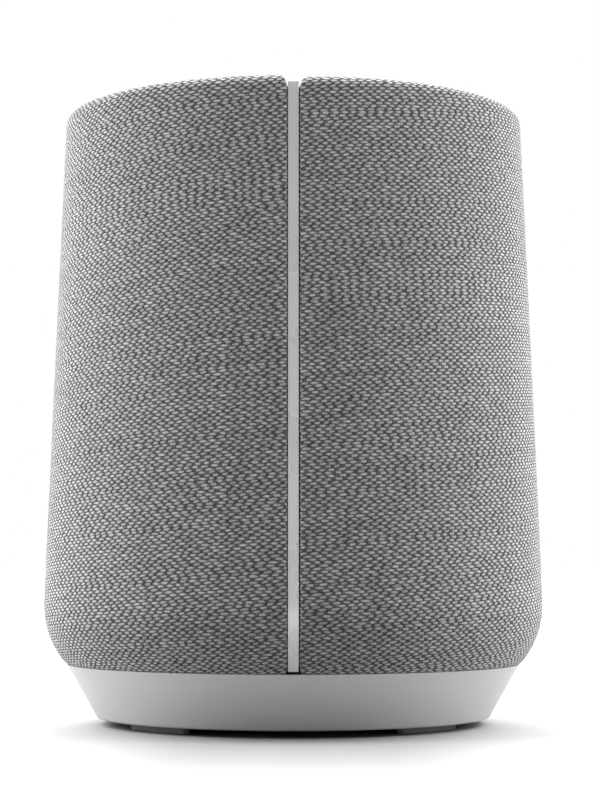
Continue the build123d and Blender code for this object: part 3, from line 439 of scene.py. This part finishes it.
# ---------------------------------------------------------------- finishes for the CAD nodes
finishes = {
    "frame_plastic": plain("frame_plastic", (0.035, 0.035, 0.037), 0.55),
    "spine_metal": plain(
        "spine_metal", (0.60, 0.60, 0.59), 0.28, grain=0.12, depth=0.004, vary=0.03, metal=0.4
    ),
    "screw_steel": brushed("screw_steel", (0.55, 0.55, 0.56), 0.32),
    "trim_plastic": plain("trim_plastic", (0.03, 0.03, 0.032), 0.42, depth=0.01),
    "panel_gloss": plain(
        "panel_gloss", (0.018, 0.018, 0.02), 0.16, grain=0.5, depth=0.001, vary=0.03, Coat_Weight=0.6
    ),
    "icon_white": plain("icon_white", (0.72, 0.73, 0.74), 0.5, vary=0.02),
    "light_guide": plain("light_guide", (0.80, 0.83, 0.85), 0.35, vary=0.02, Subsurface_Weight=0.2),
    "soft_foam": plain("soft_foam", (0.02, 0.02, 0.02), 0.95, grain=0.4, depth=0.08, vary=0.2),
    "tape": plain("tape", (0.05, 0.05, 0.05), 0.85),
    "pcb": plain("pcb", (0.015, 0.11, 0.05), 0.36, grain=0.8, depth=0.01, vary=0.12),
    "inner_plastic": plain("inner_plastic", (0.05, 0.05, 0.053), 0.5),
    "soft_rubber": plain("soft_rubber", (0.02, 0.02, 0.021), 0.72, depth=0.01),
    "wadding": plain("wadding", (0.62, 0.62, 0.60), 0.98, grain=1.2, depth=0.6, vary=0.2),
    "basket_steel": plain("basket_steel", (0.03, 0.03, 0.032), 0.4, depth=0.02),
    "plated_steel": brushed("plated_steel", (0.60, 0.60, 0.58), 0.3, along=(1.0, 0.02, 1.0)),
    "magnet": plain("magnet", (0.06, 0.06, 0.065), 0.6, grain=0.5, depth=0.03),
    "coil_copper": brushed("coil_copper", (0.62, 0.28, 0.12), 0.34, along=(0.02, 1.0, 0.02)),
    "cone_paper": plain("cone_paper", (0.035, 0.035, 0.037), 0.85, grain=0.7, depth=0.06, vary=0.15),
    "spider_cloth": cloth("spider_cloth", (0.36, 0.22, 0.09)),
    "dome_silk": cloth("dome_silk", (0.03, 0.03, 0.032), pitch=0.3, depth=0.03),
    "chip_black": plain("chip_black", (0.022, 0.022, 0.024), 0.5),
    "tinned_shield": brushed("tinned_shield", (0.68, 0.68, 0.67), 0.28, along=(1.0, 0.02, 1.0)),
    "heatsink_alloy": brushed("heatsink_alloy", (0.66, 0.67, 0.68), 0.35, along=(1.0, 0.02, 1.0)),
    "wire_insulation": plain("wire_insulation", (0.10, 0.012, 0.012), 0.5, depth=0.005),
    "base_satin": plain(
        "base_satin", (0.445, 0.448, 0.45), 0.45, grain=0.10, depth=0.004, vary=0.02,
        Specular_IOR_Level=0.3,
    ),
    "underside_plastic": plain("underside_plastic", (0.03, 0.03, 0.032), 0.58),
    "foot_rubber": plain("foot_rubber", (0.20, 0.20, 0.20), 0.85, depth=0.03),
    "pin_brass": brushed("pin_brass", (0.70, 0.60, 0.36), 0.28, along=(1.0, 0.02, 1.0)),
    "button_grey": plain("button_grey", (0.14, 0.14, 0.145), 0.45),
    "slider_red": plain("slider_red", (0.42, 0.10, 0.04), 0.45),
}
for piece in frame["record"]["subparts"]:
    given = finishes.get(piece["material_slot"])
    target = nodes[piece["node"]]
    if given is not None:
        target.data.materials.clear()
        target.data.materials.append(given)

# ---------------------------------------------------------------- studio
floor_mesh = bpy.data.meshes.new("studio_floor")
reach = 6.0
corners = [(-reach, -reach, 0), (reach, -reach, 0), (reach, reach, 0), (-reach, reach, 0)]
floor_mesh.from_pydata(corners, [], [(0, 1, 2, 3)])
floor = bpy.data.objects.new("studio_floor", floor_mesh)
scene.collection.objects.link(floor)
floor_finish, g = material("studio_floor")
# the floor's tone is painted light and shade: painted lighter to either side of the object, and a painted
# shadow just in front of it that lengthens its cast shadow
spot_x, spot_y, _ = g.parts(object_place(g))
painted_light_beside = g.span(g.math("ABSOLUTE", spot_x), 0.020, 0.070, 0.0, 1.0, True)
painted_shadow_rise = g.span(spot_y, -0.040, -0.085, 0.0, 1.0, True)
painted_shadow_fade = g.span(spot_y, -0.090, -0.200, 1.0, 0.0, True)
painted_shadow_front = g.mul(painted_shadow_rise, painted_shadow_fade)
shade = g.sub(painted_light_beside, g.mul(painted_shadow_front, g.sub(1.0, painted_light_beside)))
# painted shadow and light: the floor's colour runs from 0.24 in front of the object to 0.41 beside it
painted_floor_shade = g.grey(g.span(shade, -1.0, 1.0, 0.24, 0.41))
finish_material(g, Base_Color=painted_floor_shade, Roughness=0.9, Specular_IOR_Level=0.2)
floor_mesh.materials.append(floor_finish)

ROOM, SIDES, BACKDROP, OVERHEAD = 0.05, 5.1, 2.2, 0.6
world = bpy.data.worlds.new("studio")
scene.world = world
world.use_nodes = True
g = Graph(world.node_tree)
direction = g.tree.nodes.new("ShaderNodeTexCoord").outputs["Generated"]
dx, dy, dz = g.parts(direction)
# a dim room behind the camera, tall banks to either side, a backdrop and a soft overhead bank;
# the camera itself sees plain white
level = g.math("SQRT", g.sub(1.0, g.mul(dz, dz)))
turn = g.math("DIVIDE", dy, g.math("MAXIMUM", level, 0.05))
banks = g.span(turn, -0.62, 0.0, 0.0, SIDES, True)
backdrop = g.span(turn, 0.15, 0.60, 0.0, BACKDROP - SIDES, True)
raised = g.span(dz, 0.0, 0.6, 0.55, 1.75, True)
glow = g.mul(g.span(dz, 0.10, 0.32, 0.5, ROOM, True), g.span(turn, -0.5, -0.1, 1.0, 0.0))
behind = g.add(g.mul(g.add(g.mul(banks, raised), backdrop), g.span(dx, -1.0, 1.0, 1.08, 0.92)), glow)
overhead = g.span(dz, 0.55, 1.0, 0.0, OVERHEAD, True)
light = g.add(behind, overhead)
hue = g.mix(g.span(dx, -1.0, 1.0), rgb(1.0, (1.008, 1.0, 0.992)), rgb(1.0, (0.988, 1.0, 1.012)))
lamp = g.node("ShaderNodeBackground", Color=g.mix(1.0, hue, g.grey(light), "MULTIPLY"), Strength=1.0)
shown = g.node("ShaderNodeBackground", Color=(1.0, 1.0, 1.0, 1.0), Strength=1.0)
path = g.tree.nodes.new("ShaderNodeLightPath")
choose = g.tree.nodes.new("ShaderNodeMixShader")
g.put(choose.inputs[0], path.outputs["Is Camera Ray"])
g.put(choose.inputs[1], lamp.outputs[0])
g.put(choose.inputs[2], shown.outputs[0])
out = g.tree.nodes.new("ShaderNodeOutputWorld")
g.put(out.inputs["Surface"], choose.outputs[0])


# ---------------------------------------------------------------- camera
camera_data = bpy.data.cameras.new("camera")
camera_data.sensor_width = 36.0
camera_data.lens = 100.818
camera_data.shift_x = 0.008375
camera_data.shift_y = 0.1925
camera = bpy.data.objects.new("camera", camera_data)
camera.location = (0.0, -0.6327, 0.0477)
camera.rotation_euler = (pi / 2, 0.0, 0.0)
scene.collection.objects.link(camera)
scene.camera = camera
scene.view_settings.view_transform = "Standard"
